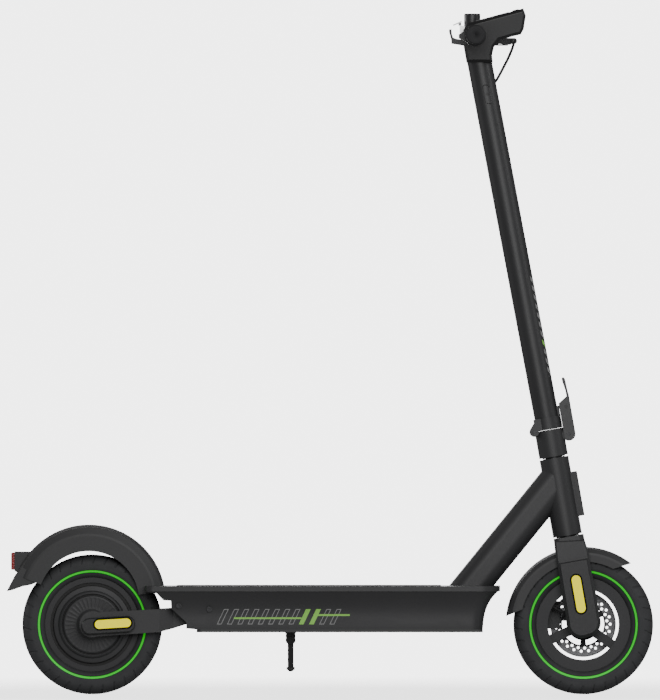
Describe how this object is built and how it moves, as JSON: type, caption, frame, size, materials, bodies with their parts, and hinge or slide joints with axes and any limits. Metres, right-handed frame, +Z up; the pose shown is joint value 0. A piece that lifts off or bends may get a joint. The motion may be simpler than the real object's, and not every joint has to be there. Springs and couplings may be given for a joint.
{
  "type": "electric kick scooter",
  "caption": "Folding electric kick scooter with a wide deck, hub-motor rear wheel on a sprung arm, disc-braked front wheel, tall stem with dash, and side stand.",
  "frame": {"origin": "on the ground midway along the scooter, on its centre plane", "axes": "+X forward, +Y to the rider's left, +Z up"},
  "size_m": [1.1794, 0.51, 1.2514],
  "materials": {
    "frame_paint": "satin black powder coat",
    "black_plastic": "fine grained moulded black",
    "tyre_rubber": "black rubber with a green sidewall line",
    "rim_paint": "matte black",
    "grip_rubber": "ribbed soft black rubber",
    "deck_rubber": "ribbed black rubber mat",
    "soft_rubber": "soft black rubber",
    "bar_paint": "satin black",
    "steel": "zinc-plated and brushed",
    "rotor_steel": "dark brushed steel",
    "caliper_paint": "matte black",
    "pad_compound": "sintered brake compound",
    "core_steel": "laminated core",
    "reflector_yellow": "yellow reflex reflector",
    "lens_red": "red lens",
    "lens_clear": "clear headlight lens",
    "display_black": "smoked display window",
    "cable_sheath": "black cable housing",
    "bell_black": "satin black",
    "bell_steel": "steel striker lever",
    "battery_wrap": "shrink-wrapped cell pack",
    "controller_case": "finned casting"
  },
  "bodies": {
    "frame": {"deck_frame": "frame_paint", "deck_mat": "deck_rubber", "bottom_cover": "frame_paint", "frame_screws": "steel", "battery_pack": "battery_wrap", "motor_controller": "controller_case", "down_tube": "frame_paint", "head_tube": "frame_paint", "head_badge": "black_plastic", "headset_bearings": "steel", "rear_fender": "black_plastic", "tail_light_lens": "lens_red", "side_bolts": "steel", "suspension_spring": "steel", "kickstand_bracket": "frame_paint", "charge_socket": "black_plastic"},
    "swingarm": {"swingarm": "frame_paint", "rear_arm_covers": "black_plastic", "rear_reflectors": "reflector_yellow", "rear_axle": "steel", "rear_axle_nuts": "steel", "motor_stator": "core_steel"},
    "rear_wheel": {"rear_tyre": "tyre_rubber", "motor_shell": "rim_paint", "motor_covers": "rim_paint", "rear_bearings": "steel"},
    "fork": {"front_fork": "frame_paint", "steerer_tube": "steel", "fork_covers": "black_plastic", "front_reflectors": "reflector_yellow", "front_fender": "black_plastic", "front_axle": "steel", "front_axle_nuts": "steel", "fold_base": "frame_paint", "hinge_pins": "steel", "brake_caliper": "caliper_paint", "brake_pads": "pad_compound"},
    "front_wheel": {"front_tyre": "tyre_rubber", "front_rim": "rim_paint", "brake_rotor": "rotor_steel", "front_bearings": "steel"},
    "stem": {"stem_tube": "frame_paint", "stem_collar": "frame_paint", "dash_housing": "black_plastic", "dash_display": "display_black", "headlight_lens": "lens_clear", "handlebar": "bar_paint", "grips": "grip_rubber", "brake_lever_mount": "black_plastic", "brake_cable": "cable_sheath", "bell_body": "bell_black", "throttle_clamp": "black_plastic", "fold_hook": "black_plastic"},
    "latch": {"latch_lever": "frame_paint"},
    "brake_lever": {"brake_lever": "bar_paint"},
    "throttle": {"throttle_paddle": "black_plastic"},
    "bell_lever": {"bell_lever": "bell_steel"},
    "power_button": {"power_button": "black_plastic"},
    "kickstand": {"kickstand_leg": "bar_paint"},
    "charge_cap": {"charge_cap": "soft_rubber"}
  },
  "joints": [
    {"name": "steer", "type": "hinge", "parent": "frame", "child": "fork", "pos_m": [0.42122, 0, 0.35991], "axis": [-0.1736, 0, 0.9848], "range_deg": [-50, 50]},
    {"name": "stem_fold", "type": "hinge", "parent": "fork", "child": "stem", "pos_m": [0.37268, 0, 0.47798], "axis": [0, -1, 0], "range_deg": [0, 92]},
    {"name": "latch", "type": "hinge", "parent": "fork", "child": "latch", "pos_m": [0.43578, 0, 0.47489], "axis": [0, 1, 0], "range_deg": [0, 110]},
    {"name": "front_wheel_spin", "type": "hinge", "parent": "fork", "child": "front_wheel", "pos_m": [0.4622, 0, 0.1275], "axis": [0, 1, 0], "continuous": true},
    {"name": "suspension", "type": "hinge", "parent": "frame", "child": "swingarm", "pos_m": [-0.2195, 0, 0.1559], "axis": [0, 1, 0], "range_deg": [0, 6.6], "stiffness_Nm_per_rad": 300, "springref_deg": -7.45, "deforming": ["suspension_spring"]},
    {"name": "rear_wheel_spin", "type": "hinge", "parent": "swingarm", "child": "rear_wheel", "pos_m": [-0.4338, 0, 0.1275], "axis": [0, 1, 0], "continuous": true},
    {"name": "brake_lever", "type": "hinge", "parent": "stem", "child": "brake_lever", "pos_m": [0.318, 0.108, 1.1935], "axis": [0, 0, 1], "range_deg": [0, 13], "stiffness_Nm_per_rad": 0.6, "springref_deg": -14.32},
    {"name": "throttle", "type": "hinge", "parent": "stem", "child": "throttle", "pos_m": [0.26408, -0.126, 1.20044], "axis": [0, -1, 0], "range_deg": [0, 30], "stiffness_Nm_per_rad": 0.08, "springref_deg": -22.92},
    {"name": "bell_lever", "type": "hinge", "parent": "stem", "child": "bell_lever", "pos_m": [0.2375, 0.076, 1.224], "axis": [0, 0, 1], "range_deg": [0, 24], "stiffness_Nm_per_rad": 0.02, "springref_deg": -17.19},
    {"name": "power_button", "type": "slide", "parent": "stem", "child": "power_button", "axis": [0.2598, 0, -0.9657], "range_m": [0, 0.0012], "stiffness_N_per_m": 400, "springref_m": -0.002},
    {"name": "kickstand", "type": "hinge", "parent": "frame", "child": "kickstand", "pos_m": [-0.072, 0.072, 0.102], "axis": [0, 0.788, 0.6157], "range_deg": [0, 82]},
    {"name": "charge_cap", "type": "hinge", "parent": "frame", "child": "charge_cap", "pos_m": [0.236, 0.081, 0.165], "axis": [1, 0, 0], "range_deg": [0, 110]}
  ]
}
